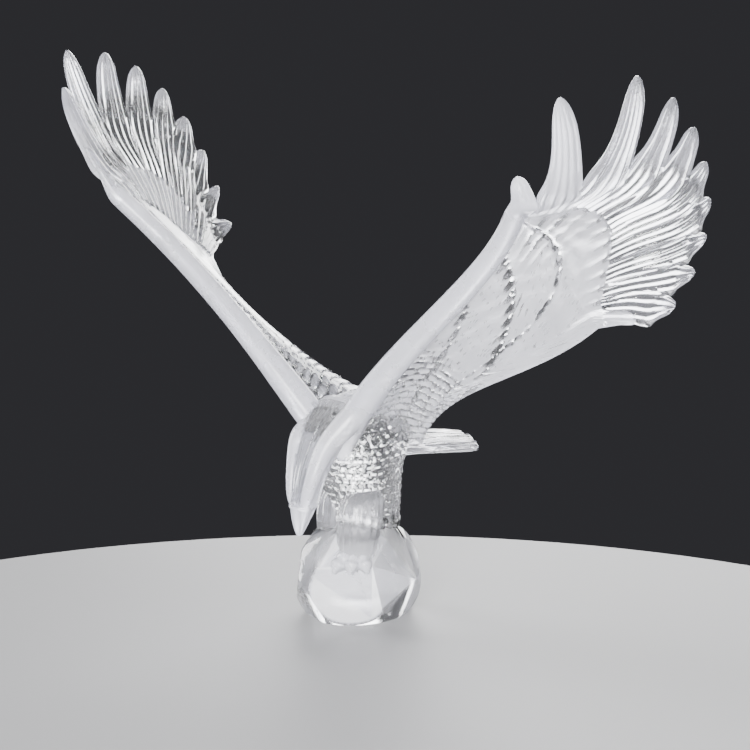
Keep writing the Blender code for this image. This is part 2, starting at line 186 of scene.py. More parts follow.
# A place on the wing is u along it, 0 at the shoulder, 1 at the wrist and 2 at the notches, and
# v across it, 0 at the leading edge and 1 at the trailing edge.
WING_STEP = 0.02
STEADY_CHORD = (0.3, 0.4)  # directions are taken at the first plus v times the second
CAMBER = 3.0
CAMBER_FADE = (1.2, 2)
BLADE_ROWS = 160
BLADE_COLUMNS = 56
BLADE_CROWDING = 0.25  # how much closer together the rows are at the shoulder
BLADE_HALF_THICKNESS = 1.7
BLADE_SLIMMING = 0.5  # share of the thickness lost at the trailing edge
BLADE_CLOSING = (0.985, 0.17)  # where its end rounds off behind, and how much sooner in front
BLADE_END = 0.02
UNCOVERED_TOP = 0.7
LIP_THICKNESS = (0.9, 1.7)  # of the under coverts' end in front, and what it gains behind
ARM_ROWS = 72
ARM_COLUMNS = 24
ARM_START = -0.09
ARM_STEP = 0.005
ARM_REACH = 5  # how far it runs straight on past the wrist
ARM_THUMB = 0.65  # share of the way to the thumb's tip that it covers
ARM_FINGER = 0.12  # how much u that stretch takes
ARM_NARROWING = 1
ARM_SLIMMING = 0.62
ARM_SQUARENESS = 0.06
ARM_GROOVE = 0.09
ARM_GROOVE_ANGLE = 2.5
ARM_GROOVE_WIDTH = 0.16

# coverts: the small feathers that hide the roots of the flight feathers
LAYER_REACH = (
    # at the leading edge, loss over the chord, power of that loss
    (0.6, 1.1, 2),
    (0.83, 0.42, 2),
    (1.13, 1.6, 4),
)
LAYER_SCALES = (10, 12, 11)
LAYER_SCALLOP = (0.025, 0.03, 0.03)
LAYER_STEP = (0.2, 0.25, 0.3)
TOP_SCALES = 12
TOP_SCALLOP = 0.04
PIT_DEPTH = 1.6
PIT_CLEARING = 2.5
BEADS = 30
BEAD_RADIUS = 1.3
BEAD_GAP = 1.9
BEAD_END = (0.22, 0.34)
TOP_BEAD_GAP = 3.4
TOP_BEAD_END = (1.1, 1.25)
RAYS = 14
RAY_HEIGHT = 0.4
RAY_CLEARING = 0.8
RIPPLE_HEIGHT = 0.16
LAPS = 30
TOP_LAPS = 0.7
LAP_GAP_DEPTH = 0.5
SPECK_CLEARING = 0.5

# flight feathers, given from the leading one back
FEATHERS = 10
FEATHER_ROWS = 32
FEATHER_COLUMNS = 24
FEATHER_CROWDING = 1.3
FEATHER_OVERLAP = 0.3
FEATHER_ROOT = 1.1
FEATHER_INNER = 1.0
FEATHER_PLACES = (0.06, 0.86)  # chord place of the first root, and how far the others spread
FEATHER_KNEE = 0.85  # share of the bend that would take it right between its notches
FEATHER_FREE = (0.45, 1)  # share of the way to the notches over which it leaves the blade
FEATHER_HALF_THICKNESS = 1.8
FEATHER_FACES = (Vector((-0.93, 0.24, 0.1)), Vector((-1, 0.1, 0.1)), Vector((-0.9, 0, 0.35)))
LEAD_FACES = (Vector((-0.4, 0.9, 0.1)), Vector((-0.91, 0.41, 0)))
FEATHER_TILT = math.radians(5)
FEATHER_WIDTH = (1, 0.9, 1, 1, 1, 1, 1, 1, 1, 1)
FEATHER_TAPER = (0.5, 0.5, 0.5, 0.52, 0.55, 0.6, 0.66, 0.68, 0.7, 0.7)
TAPER_POWER = 0.75
TIP_START = 0.65
TIP_POWER = 2.6
TIP_END = 0.015
FEATHER_BOW = 0.5
RIBS = (3, 4, 5, 4, 4, 4, 4, 4, 4, 4)
RIB_SHARPNESS = 0.8
TOP_RIBS = (0.4, 0.7, 0.8, 0.9, 0.9, 0.9, 0.9, 0.9, 0.9, 0.9)
UNDER_RIBS = (0, 0.5, 0.7, 1.1, 1.1, 1.1, 1.1, 1.1, 1.1, 1.0)
UNDER_FADE = (1, 0.9, 0.3, 0, 0, 0, 0, 0, 0, 0)  # share of their height lost past the notches
ROOT_HAZE = 0.1
TIP_HAZE = 0.6
TOP_HAZE = 0.45
UNDER_HAZE = (1, 0.9, 0.5, 0.1, 0, 0, 0, 0, 0, 0)

# -------------------------------------------------------------------------------- body
HEAD_STATIONS = (
    # centre X, centre Y, centre Z, half width, half depth
    (0, -8, 86, 11.5, 6),
    (0.3, -16, 82, 11.6, 7),
    (1.1, -24, 74, 9.5, 7.4),
    (1.6, -30, 65, 7.2, 7.3),
    (1.5, -33, 56, 5.8, 6.8),
    (0.9, -33.5, 50, 4.8, 6.0),
    (0.3, -34, 45, 3.4, 4.5),
    (0, -34.3, 41, 2.1, 2.8),
    (0, -34.5, 38.5, 0.9, 1.4),
)
HEAD_ROWS = 100
HEAD_COLUMNS = 80
HEAD_STEP = 0.02
HOOD_SPAN = ((0.3, 1.0), (4.2, 5.0))  # stations over which the hood of feathers starts and ends
BEAK_START = 4.95  # along the stations too
HOOD_DEPTH = 1.4
HOOD_GROOVES = 24
HOOD_GROOVE_DEPTH = 0.45
CERE_HEIGHT = 0.35
KEEL_HEIGHT = 0.5
MOUTH_DEPTH = 0.45
RIDGE_PLACES = (
    # along the head's stations, share of its half width
    (2, 0.8),
    (3, 0.8),
    (3.9, 0.72),
    (4.5, 0.6),
    (5.0, 0.4),
)
RIDGE_ABOVE = 0.42  # share of the head's half depth
RIDGE_RADIUS = (5.0, 5.5, 4.4, 3.4, 2.7, 2.1, 1.1)
RIDGE_ROWS = 72
RIDGE_COLUMNS = 22
EYE = Vector((5.3, -33.4, 53.4))
EYE_RADIUS = 1.2
EYE_ROWS = 12
EYE_COLUMNS = 18
TRUNK_STATIONS = (
    # height, half width, half depth, centre Y
    (22, 13, 14, 4),
    (34, 13, 14, 5),
    (46, 13.3, 14.6, 4.8),
    (60, 15, 17.3, 3),
    (72, 16.8, 20.8, 3),
    (81, 16, 21, 3),
    (87, 11, 16, 2),
    (90, 5, 8, 1),
    (91, 0.8, 1.2, 1),
)
TRUNK_ROWS = 105
TRUNK_COLUMNS = 144
TRUNK_GIRTH = 2 * math.pi * 17
TRUNK_POWER = 2.3  # 2 is an ellipse, and more is squarer
BACK_RISE = (80, 89)  # heights between which the scales turn to face up
BACK_FROSTING = (80, 86)
SCALE_WIDTH = 3.8
SCALE_HEIGHT = 3.1
SCALE_DEPTH = 2.3
LEG_STATIONS = (
    # centre Y, centre Z, radius
    (-2, 54, 2.5),
    (-4.5, 52.3, 6),
    (-6.2, 49.5, 8.4),
    (-7.4, 45, 9.2),
    (-8.4, 39, 9),
    (-9.2, 32, 8),
    (-9.8, 26, 7),
    (-10, 21, 6),
)
LEG_ROWS = 60
LEG_COLUMNS = 64
LEG_GROOVES = 16
LEG_GROOVE_DEPTH = 0.28
LEGS = (
    # across, set back, size
    (8.5, 0, 1),
    (-7, 4.5, 0.88),
)
ANKLE_Y = -10
ANKLE_Z = 27.5
KNUCKLE_RISE = 3
TOE_TIPS = ((8.5, -3.5), (4, -8.5), (-2, -11.5))
TOE_TIP_Z = 21.5
TOE_RADII = (3.6, 3.5, 3.1, 3.0, 2.4, 0.9)
TOE_ROWS = 30
TOE_COLUMNS = 20
# Y and Z along the tail's middle feather and its outermost ones, and their X
TAIL_MIDDLE = ((8, 69), (28, 68), (44, 66), (58, 64), (70, 62))
TAIL_EDGE = ((8, 67.5), (28, 65.5), (44, 63), (58, 61), (66.5, 60))
TAIL_SPREAD = (6, 7, 8, 9.2, 9.8)
TAIL_FEATHERS = 5
TAIL_HALF_WIDTHS = (3.4, 3.4, 3.5, 3.6, 3.4)
TAIL_HALF_THICKNESSES = (5, 3.6, 2.6, 2.0, 1.5)
TAIL_ROLL = math.radians(30)
TAIL_TIP_START = 0.88
TAIL_SHAFT_HEIGHT = 0.4
TAIL_BARB_HEIGHT = 0.14
TAIL_ROWS = 34
TAIL_COLUMNS = 14
ROCK_STATIONS = (
    # height, half width, half depth
    (0, 19, 22.2),
    (3, 21.6, 24.8),
    (9, 23.8, 27.2),
    (16, 24.4, 28),
    (24, 23.2, 26.5),
    (31, 19.8, 22.5),
    (36, 14, 16),
    (38, 8, 9),
)
ROCK_ROWS = 40
ROCK_COLUMNS = 96
ROCK_RIM = 1.2  # width of the rim round the etched facet
ROCK_MIDDLE_Y = 1
ROCK_FACETS = (
    # outward direction, distance from the middle of the rock's foot; the first is etched
    ((0.643, -0.766, 0.03), 20.8),
    ((0.5, -0.62, 0.6), 30.5),
    ((-0.75, -0.6, 0.1), 25.2),
    ((0.97, -0.2, 0.16), 23),
    ((0.9, -0.35, -0.3), 20.5),
    ((-0.35, -0.85, -0.5), 17.6),
    ((0.85, 0.3, 0.45), 29),
    ((0.95, 0.1, -0.28), 18.4),
    ((-0.8, -0.35, 0.45), 30),
    ((-0.9, 0.3, -0.15), 21),
    ((0.2, 0.9, 0.3), 29),
    ((-0.35, 0.9, -0.25), 22),
)


def bezier(points, t):
    """Point at t on the curve that these points pull towards them."""
    row = [Vector(p) for p in points]
    while len(row) > 1:
        row = [a.lerp(b, t) for a, b in zip(row, row[1:])]
    return row[0]


def blend(values, t):
    """Value at t along evenly spaced values, straight between them."""
    place = min(max(t, 0), 1) * (len(values) - 1)
    i = min(int(place), len(values) - 2)
    return values[i] + (values[i + 1] - values[i]) * (place - i)


def smooth(values, t):
    """Value at t along evenly spaced values, on a smooth curve through them."""
    place = min(max(t, 0), 1) * (len(values) - 1)
    i = min(int(place), len(values) - 2)
    f = place - i
    a = values[max(i - 1, 0)]
    b = values[i]
    c = values[i + 1]
    d = values[min(i + 2, len(values) - 1)]
    square = (2 * a - 5 * b + 4 * c - d) * f * f
    cube = (3 * b - a - 3 * c + d) * f**3
    return 0.5 * (2 * b + (c - a) * f + square + cube)


def ease(low, high, x):
    """0 up to low, 1 from high, and a soft step between them."""
    t = min(max((x - low) / (high - low), 0), 1)
    return t * t * (3 - 2 * t)


def bump(x, width):
    """Bell curve: 1 where x is 0, and almost 0 at twice the width."""
    return math.exp(-((x / width) ** 2))


def new_object(name, data):
    """Mesh, light or camera put into the scene."""
    thing = bpy.data.objects.new(name, data)
    bpy.context.scene.collection.objects.link(thing)
    return thing


def loft(name, rings, frost):
    """Closed solid through rings of equal length; frost is one number, or one for each point."""
    bm = bmesh.new()
    rows = [[bm.verts.new(p * MM) for p in ring] for ring in rings]
    count = len(rows[0])
    for low, high in zip(rows, rows[1:]):
        for i in range(count):
            j = (i + 1) % count
            bm.faces.new((low[i], low[j], high[j], high[i]))
    for ring in (rows[0], rows[-1]):
        for i in range(count // 2 - 1):
            bm.faces.new((ring[i], ring[i + 1], ring[count - 2 - i], ring[count - 1 - i]))
    bmesh.ops.recalc_face_normals(bm, faces=bm.faces)
    mesh = bpy.data.meshes.new(name)
    bm.to_mesh(mesh)
    bm.free()
    if isinstance(frost, list):
        values = [value for ring in frost for value in ring]
    else:
        values = [frost] * len(mesh.vertices)
    store = mesh.attributes.new(FROST, "FLOAT", "POINT")
    store.data.foreach_set("value", [KNOWN + value for value in values])
    return new_object(name, mesh)


def heal(mesh):
    """A union leaves points on its seams without their frost: they take it from their neighbours."""
    values = np.zeros(len(mesh.vertices))
    mesh.attributes[FROST].data.foreach_get("value", values)
    edges = np.zeros(len(mesh.edges) * 2, dtype=int)
    mesh.edges.foreach_get("vertices", edges)
    edges = edges.reshape(-1, 2)
    while (values < KNOWN).any():
        known = values >= KNOWN
        total = np.zeros(len(values))
        count = np.zeros(len(values))
        for here, there in ((0, 1), (1, 0)):
            good = known[edges[:, there]]
            np.add.at(total, edges[good, here], values[edges[good, there]])
            np.add.at(count, edges[good, here], 1)
        reached = ~known & (count > 0)
        if not reached.any():
            values[~known] = KNOWN
        values[reached] = total[reached] / count[reached]
    mesh.attributes[FROST].data.foreach_set("value", values)


def unite(name, shapes):
    """One solid out of all the shapes, which are used up."""
    joined = shapes[0]
    for number, shape in enumerate(shapes[1:]):
        step = joined.modifiers.new("join_%02d" % number, "BOOLEAN")
        step.operation = "UNION"
        step.solver = "MANIFOLD"
        step.object = shape
    graph = bpy.context.evaluated_depsgraph_get()
    mesh = bpy.data.meshes.new_from_object(joined.evaluated_get(graph))
    for shape in shapes:
        bpy.data.objects.remove(shape, do_unlink=True)
    heal(mesh)
    return new_object(name, mesh)


def turns(count):
    """Angles all the way round, evenly spaced."""
    return [2 * math.pi * i / count for i in range(count)]


def turned(angle, middle):
    """Angle from the middle, from -pi to pi."""
    return math.remainder(angle - middle, 2 * math.pi)


def circle(centre, side, depth, radius, count):
    """Ring of points about a centre, in the plane of two directions."""
    ring = []
    for angle in turns(count):
        ring.append(centre + side * radius * math.cos(angle) + depth * radius * math.sin(angle))
    return ring


def shingle(x, y):
    """Height from 0 to 1 of overlapping round-ended scales, given across and along them."""
    row = math.floor(y)
    for r in (row - 1, row):
        local = (x + 0.5 * (r % 2)) % 1 * 2 - 1
        reach = (y - r) / 2
        end = 0.55 + 0.42 * math.sqrt(max(1 - local * local, 0))
        if reach < end:
            return 0.2 + 0.8 * reach / end - 0.3 * local * local
    return 0


# -------------------------------------------------------------------------------- wings


def feather_tips(side):
    """Where the flight feathers end, from the thumb feather back."""
    tips = [Vector(side["thumb"]), Vector(LEAD_TIP)]
    for i in range(FAN_FEATHERS):
        t = i / (FAN_FEATHERS - 1)
        angle = side["fan_start"] + side["fan_sweep"] * t ** side["fan_ease"]
        reach = blend(side["fan_reach"], t)
        x = FAN_TIP_X[0] + (FAN_TIP_X[1] - FAN_TIP_X[0]) * t**3
        y = FAN_CENTRE_Y + reach * math.cos(angle)
        z = FAN_CENTRE_Z + reach * math.sin(angle)
        tips.append(Vector((x, y, z)))
    return tips


def wing_surface(side, u, v):
    """Point on the wing's middle surface before it is arched."""
    arm_u = min(u, 1)
    lead = bezier(side["leading_edge"], arm_u)
    trail = bezier(side["trailing_edge"], arm_u)
    point = lead.lerp(trail, v)
    if u > 1:
        point = point.lerp(blend([Vector(p) for p in side["notches"]], v), u - 1)
    return point


def wing_normal(side, u, v):
    """Direction square to the middle surface, taken at a steadier place well inside its edges."""
    start, share = STEADY_CHORD
    v = start + share * v
    outer = wing_surface(side, min(u + WING_STEP, 2), v)
    inner = wing_surface(side, max(u - WING_STEP, 0), v)
    ahead = wing_surface(side, u, v - WING_STEP)
    behind = wing_surface(side, u, v + WING_STEP)
    return (outer - inner).cross(behind - ahead).normalized()


def camber(u, v):
    """How far the wing arches above its flat middle surface."""
    return CAMBER * 4 * v * (1 - v) * (1 - ease(*CAMBER_FADE, u))


def layer_gap(layer, u, v):
    """How far in from the ends of a layer of coverts a place is, and where across its feather."""
    local = (v * LAYER_SCALES[layer] + 0.5 * layer) % 1 * 2 - 1
    reach, loss, power = LAYER_REACH[layer]
    scallop = LAYER_SCALLOP[layer] * (1 - math.sqrt(max(1 - local * local, 0)))
    return reach - loss * v**power - scallop - u, local


def coverts(u, v):
    """Relief under the wing: three layers of feathers, each ending in a row of round ends."""
    relief = 0
    for layer, height in enumerate(LAYER_STEP):
        gap, _ = layer_gap(layer, u, v)
        relief += height * ease(-0.008, 0.008, gap) * (1 - 0.8 * ease(0, 0.2, gap))
    return relief


def pitted(u, v):
    """Deep pits between the feather ends of each covert layer, from 0 to 1."""
    depth = 0
    for layer in range(len(LAYER_REACH)):
        gap, local = layer_gap(layer, u, v)
        depth += bump(gap + 0.014, 0.02) * bump(abs(local) - 1, 0.55)
    return min(depth, 1)


def beading(side, u, v, gap):
    """Row of pits beside the arm and a gap away from it, from 0 to 1."""
    chord = (wing_surface(side, u, 1) - wing_surface(side, u, 0)).length
    beside = (smooth(side["arm_radius"], u) + gap) / chord
    return bump(v - beside, BEAD_RADIUS / chord) * ease(-0.5, 0.8, math.cos(2 * math.pi * u * BEADS))


def laps(u, v):
    """Small feathers lapping back from the shoulder: their relief, and 0 to 1 for the gaps."""
    weight = (1 - ease(0.26, 0.5, u)) * ease(0.12, 0.3, v)
    across = (u - 0.18 * v) * LAPS + 0.3 * math.sin(9 * v)
    row = math.floor(across)
    local = (5.5 * v + 0.5 * row + 0.4 * math.sin(2.4 * row)) % 1 * 2 - 1
    place = min(max(across - row + 0.3 * local * local, 0), 1)
    relief = 1.1 * (1 - place) ** 1.2 - 0.5
    gap = bump(place - 0.88, 0.16) * (0.35 + 0.65 * bump(local - 0.2, 0.6))
    return weight * relief, weight * gap


def ripple(u, v):
    """Soft unevenness of the cast surface under the wing."""
    wave = math.sin(34 * u + 3 * math.sin(8 * v)) * math.sin(21 * v + 2 * math.sin(11 * u))
    return RIPPLE_HEIGHT * wave


def rays(u, v):
    """Ribs running on from the flight feathers down into the coverts, from -1 to 1."""
    leading = ease(0.84, 1, u) * bump(v - 0.2, 0.17)
    others = ease(rim(v) - 0.26, rim(v) - 0.02, u) * ease(0.25, 0.4, v)
    return max(leading, others) * math.cos(2 * math.pi * RAYS * v)


def specks(u, v):
    """Small scattered spots where the frosting is worn through, from 0 to 1."""
    wave = math.sin(83 * u + 5 * math.sin(13 * v)) * math.sin(52 * v + 4 * math.sin(17 * u))
    return ease(0.45, 0.85, wave)


def rim(v):
    """How far out the coverts hide the flight feathers, under the wing."""
    return min(1.8 - 0.72 * v, 1.32 + v) + 0.75 * ease(0.86, 1, v)


def top_rim(side, v):
    """How far out the coverts reach on top, ending in a row of round feather ends."""
    local = (v * TOP_SCALES) % 1 * 2 - 1
    return side["top_rim"] - 0.5 * v - TOP_SCALLOP * (1 - math.sqrt(1 - local * local))


def blade_end(f, v):
    """Share of the blade's thickness that is left at f of its length, rounding off its end."""
    closing = BLADE_CLOSING[0] - BLADE_CLOSING[1] * (1 - ease(0.15, 0.42, v))
    return math.sqrt(max(1 - ease(closing, 1, f), BLADE_END))


def edge_fade(v):
    """From 0 on the wing's two edges to 1 a little inside them."""
    return ease(0, 0.06, v) * ease(0, 0.05, 1 - v)


def blade_point(side, u, v):
    """Heights above and below the blade's middle at a place, and the frost of both faces."""
    plain = BLADE_HALF_THICKNESS * (1 - BLADE_SLIMMING * v)
    edge = edge_fade(v)
    lap, gap = laps(u, v)
    ray = rays(u, v)
    beads = beading(side, u, v, BEAD_GAP) * (1 - ease(*BEAD_END, u))
    pits = max(pitted(u, v), beads)
    top_beads = side["top_beads"] * beading(side, u, v, TOP_BEAD_GAP) * (1 - ease(*TOP_BEAD_END, u))
    bare = 1 - min(PIT_CLEARING * max(pits, top_beads, gap), 1)

    above = UNCOVERED_TOP + (plain - 0.1) * ease(-0.015, 0.015, top_rim(side, v) - u)
    above += edge * TOP_LAPS * lap - PIT_DEPTH * top_beads

    lip = LIP_THICKNESS[0] + LIP_THICKNESS[1] * ease(0.25, 0.5, v)
    below = plain + (lip - plain) * ease(rim(v) - 0.35, rim(v) - 0.03, u)
    relief = coverts(u, v) + lap + ripple(u, v) + RAY_HEIGHT * ray
    below += edge * (relief - PIT_DEPTH * pits - LAP_GAP_DEPTH * gap)
    worn = SPECK_CLEARING * specks(u, v) * (1 - ease(1, 1.15, u))
    under_frost = FROSTED * (1 - max(worn, -RAY_CLEARING * ray)) * bare
    return above, below, side["top_frost"] * bare, under_frost


def blade(side):
    """Thin arched sheet of the wing, with its coverts in relief on both faces."""
    rings = []
    frost = []
    for r in range(BLADE_ROWS + 1):
        f = r / BLADE_ROWS
        f = (1 - BLADE_CROWDING) * f + BLADE_CROWDING * f * f
        top = []
        under = []
        top_frost = []
        under_frost = []
        for j in range(BLADE_COLUMNS + 1):
            v = j / BLADE_COLUMNS
            u = f * rim(v)
            end = blade_end(f, v)
            middle = wing_surface(side, u, v)
            normal = wing_normal(side, u, v)
            above, below, frost_above, frost_below = blade_point(side, u, v)
            top.append(middle + normal * (camber(u, v) + above * end))
            under.append(middle + normal * (camber(u, v) - below * end))
            top_frost.append(frost_above)
            under_frost.append(frost_below)
        rings.append(top + under[::-1])
        frost.append(top_frost + under_frost[::-1])
    return loft("blade", rings, frost)


def uncovered(side, place, u):
    """From 0 to 1, how far past the coverts a flight feather is, above and below the wing."""
    above = ease(top_rim(side, place) - 0.1, top_rim(side, place) + 0.04, u)
    below = ease(rim(place) - 0.12, rim(place) + 0.02, u)
    return above, below


def rib_heights(number, past, close, above, below):
    """Heights of a feather's ribs on both faces, fading towards its tip."""
    fade = (1 - 0.35 * past) * ease(0, 0.18, 1 - past) * close
    under = UNDER_RIBS[number] * below * (1 - UNDER_FADE[number] * ease(0.05, 0.3, past))
    return fade * TOP_RIBS[number] * above, fade * under


def feather(side, number, tip):
    """Flight feather, from inside the blade out between two notches to a rounded tip."""
    first = Vector(side["notches"][number])
    second = Vector(side["notches"][number + 1])
    v = (number + 0.5) / FEATHERS
    face = LEAD_FACES[number] if number < len(LEAD_FACES) else bezier(FEATHER_FACES, v)
    place = FEATHER_PLACES[0] + FEATHER_PLACES[1] * v
    root = wing_surface(side, FEATHER_ROOT, place)
    base = (first + second) / 2
    notch = (base - root).length / ((base - root).length + (tip - base).length)
    knee = (base - root * (1 - notch) ** 2 - tip * notch**2) / (2 * notch * (1 - notch))
    line = (root, base.lerp(knee, FEATHER_KNEE), tip)
    half_width = ((first - second).length / 2 + FEATHER_OVERLAP) * FEATHER_WIDTH[number]
    up = wing_normal(side, 1.3, place)
    inner = (FEATHER_INNER - FEATHER_ROOT) / (2 - FEATHER_ROOT) * notch

    def out(t):
        """How far out along the wing a place on the feather is, 2 being the notches."""
        return FEATHER_ROOT + (2 - FEATHER_ROOT) * t / notch

    def centre(t):
        u = min(out(t), 2)
        free = ease(*FEATHER_FREE, t / notch)
        inside = wing_surface(side, u, place + (v - place) * min(max(t / notch, 0), 1))
        return inside.lerp(bezier(line, t), free) + up * camber(u, place)

    def directions(t, past):
        """Across the feather and through it."""
        ahead = (centre(t + 0.01) - centre(t - 0.01)).normalized()
        flat = wing_normal(side, min(out(t), 1.9), place)
        broad = ahead.cross(flat.lerp(face, ease(1.3, 2.1, out(t)))).normalized()
        turn = Matrix.Rotation(FEATHER_TILT * ease(0, 0.5, past), 3, ahead)
        return turn @ broad, turn @ broad.cross(ahead).normalized()

    rings = []
    frost = []
    for r in range(FEATHER_ROWS + 1):
        t = inner + (1 - inner) * (1 - (1 - r / FEATHER_ROWS) ** FEATHER_CROWDING)
        u = out(t)
        past = max(t - notch, 0) / (1 - notch)
        broad, depth = directions(t, past)

        taper = 1 - FEATHER_TAPER[number] * past**TAPER_POWER
        closing = max((past - TIP_START) / (1 - TIP_START), 0) ** TIP_POWER
        close = math.sqrt(max(1 - closing, TIP_END))
        wide = half_width * (0.7 + 0.3 * min(max(t, 0) / notch, 1)) * taper * close
        thick = FEATHER_HALF_THICKNESS * (1 - 0.25 * past) * (0.35 + 0.65 * close)
        round_off = 0.25 + 0.45 * ease(0, 0.3, past)

        # the coverts hide the feather's root, so it is thin there and its ribs start past them
        above, below = uncovered(side, place, u)
        lens_above = 0.3 + 0.3 * above + 0.4 * ease(1.4, 2.1, u)
        lens_below = 0.25 + 0.2 * below + 0.55 * ease(rim(place), 2.1, u)
        ribs_above, ribs_below = rib_heights(number, past, close, above, below)

        top = []
        under = []
        for i in range(FEATHER_COLUMNS + 1):
            x = 1 - 2 * i / FEATHER_COLUMNS
            lens = thick * (1 - round_off * abs(x) ** 2.2)
            rib = abs(math.cos(math.pi * RIBS[number] * x / 2)) ** RIB_SHARPNESS - 0.5
            bow = FEATHER_BOW * (1 - x * x) * close * ease(0, 0.3, past)
            point = centre(t) + broad * wide * x + depth * bow
            top.append(point + depth * (lens * lens_above + rib * ribs_above))
            under.append(point - depth * (lens * lens_below + rib * ribs_below))
        rings.append(top + under[::-1])

        haze = ROOT_HAZE + (TIP_HAZE - ROOT_HAZE) * ease(1.6, 2.4, u)
        top_haze = TOP_HAZE + (TIP_HAZE - TOP_HAZE) * ease(0.2, 0.7, past)
        under_haze = max(haze, UNDER_HAZE[number], FROSTED * (1 - below))
        frost.append([top_haze * side["haze"]] * len(top) + [under_haze * side["haze"]] * len(under))
    return loft("feather_%d" % (number + 1), rings, frost)


def arm(side):
    """Rounded leading edge, running on into the thumb feather."""
    wrist = bezier(side["leading_edge"], 1)
    start = (wrist - bezier(side["leading_edge"], 0.98)).normalized()
    finger = (wrist, wrist + start * ARM_REACH, wrist.lerp(Vector(side["thumb"]), ARM_THUMB))

    def centre(t):
        return bezier(side["leading_edge"], t) if t < 1 else bezier(finger, (t - 1) / ARM_FINGER)

    rings = []
    for i in range(ARM_ROWS + 1):
        t = ARM_START + (1 + ARM_FINGER - ARM_START) * i / ARM_ROWS
        ahead = (centre(t + ARM_STEP) - centre(t - ARM_STEP)).normalized()
        broad = ahead.cross(BACK).normalized()
        depth = broad.cross(ahead).normalized()
        slimming = ARM_SLIMMING * ease(ARM_NARROWING, ARM_NARROWING + ARM_FINGER, t)
        radius = smooth(side["arm_radius"], t) * (1 - slimming)
        ring = []
        for angle in turns(ARM_COLUMNS):
            squarer = 1 + ARM_SQUARENESS * math.cos(4 * (angle - 0.5))
            groove = ARM_GROOVE * bump(turned(angle, ARM_GROOVE_ANGLE), ARM_GROOVE_WIDTH)
            reach = radius * (squarer - groove)
            ring.append(centre(t) + broad * reach * math.cos(angle) + depth * reach * math.sin(angle))
        rings.append(ring)
    return loft("arm", rings, BAND)


def pose(side):
    """The turn that sets a wing on its shoulder; the right one is mirrored too."""
    pivot = SHOULDER * MM
    turn = Matrix.Rotation(side["pitch"], 4, "X")
    turn = Matrix.Translation(pivot) @ turn @ Matrix.Translation(-pivot)
    flip = Matrix.Scale(-1, 4, ACROSS) if side is RIGHT else Matrix.Identity(4)
    return flip @ turn


def wing(name, side):
    """Blade, arm and flight feathers in one, set on the shoulder."""
    shapes = [blade(side), arm(side)]
    for number, tip in enumerate(feather_tips(side)):
        shapes.append(feather(side, number, tip))
    whole = unite(name, shapes)
    whole.data.transform(pose(side))
    if side is RIGHT:
        whole.data.flip_normals()
    return whole


# --------------------------------------------------------------------------------- body


def station(stations, t):
    """One row of a table of stations, smoothly between its rows."""
    return [smooth([row[k] for row in stations], t) for k in range(len(stations[0]))]


def trunk():
    """Body covered in small overlapping feathers, up to the low dome of the back."""
    around = round(TRUNK_GIRTH / SCALE_WIDTH)
    last_z, last_a, *_ = TRUNK_STATIONS[0]
    climb = last_z
    rings = []
    frost = []
    for r in range(TRUNK_ROWS + 1):
        z, a, b, y = station(TRUNK_STATIONS, r / TRUNK_ROWS)
        climb += math.hypot(z - last_z, a - last_a)
        last_z, last_a = z, a
        rise = ease(*BACK_RISE, z)
        ring = []
        values = []
        for angle in turns(TRUNK_COLUMNS):
            c = math.copysign(abs(math.cos(angle)) ** (2 / TRUNK_POWER), math.cos(angle))
            s = math.copysign(abs(math.sin(angle)) ** (2 / TRUNK_POWER), math.sin(angle))
            out = Vector((c * a, s * b, 0))
            scale = shingle(angle / (2 * math.pi) * around, (100 - climb) / SCALE_HEIGHT)
            proud = out.normalized() * (1 - rise) + UP * rise
            ring.append(Vector((0, y, z)) + out + proud * SCALE_DEPTH * (scale - 0.6))
            front = SCALE_FROST * ease(0.25, 0.8, scale)
            values.append(max(front, BACK_FROST * ease(*BACK_FROSTING, z)))
        rings.append(ring)
        frost.append(values)
    return loft("trunk", rings, frost)


def head_frame(t):
    """Centre, half width, half depth and upward direction of the bowed head at t."""
    x, y, z, a, b = station(HEAD_STATIONS, t)
    before = station(HEAD_STATIONS, t - HEAD_STEP)
    after = station(HEAD_STATIONS, t + HEAD_STEP)
    ahead = Vector((0, after[1] - before[1], after[2] - before[2])).normalized()
    return Vector((x, y, z)), a, b, ahead.cross(ACROSS).normalized()


def head():
    """Neck and bowed head down to the hooked beak, with grooves along the crown."""
    rings = []
    frost = []
    for r in range(HEAD_ROWS + 1):
        t = r / HEAD_ROWS
        centre, a, b, depth = head_frame(t)
        place = t * (len(HEAD_STATIONS) - 1)
        hood = ease(*HOOD_SPAN[0], place) * (1 - ease(*HOOD_SPAN[1], place))
        beak = ease(BEAK_START, BEAK_START + 0.1, place)
        cere = CERE_HEIGHT * (bump(place - BEAK_START + 0.1, 0.14) - beak)
        ring = []
        values = []
        for angle in turns(HEAD_COLUMNS):
            c = math.cos(angle)
            s = math.sin(angle)
            crown = ease(0.5, 0.8, s)
            groove = hood * crown * (HOOD_DEPTH + HOOD_GROOVE_DEPTH * math.cos(c * HOOD_GROOVES))
            keel = KEEL_HEIGHT * beak * bump(turned(angle, math.pi / 2), 0.5)
            mouth = MOUTH_DEPTH * beak * bump(s + 0.25, 0.16)
            point = centre + ACROSS * a * c + depth * b * s
            ring.append(point + (ACROSS * c + depth * s) * (cere + keel - groove - mouth))
            values.append(BAND - (BAND - HOOD_FROST) * hood * crown)
        rings.append(ring)
        frost.append(values)
    return loft("head", rings, frost)


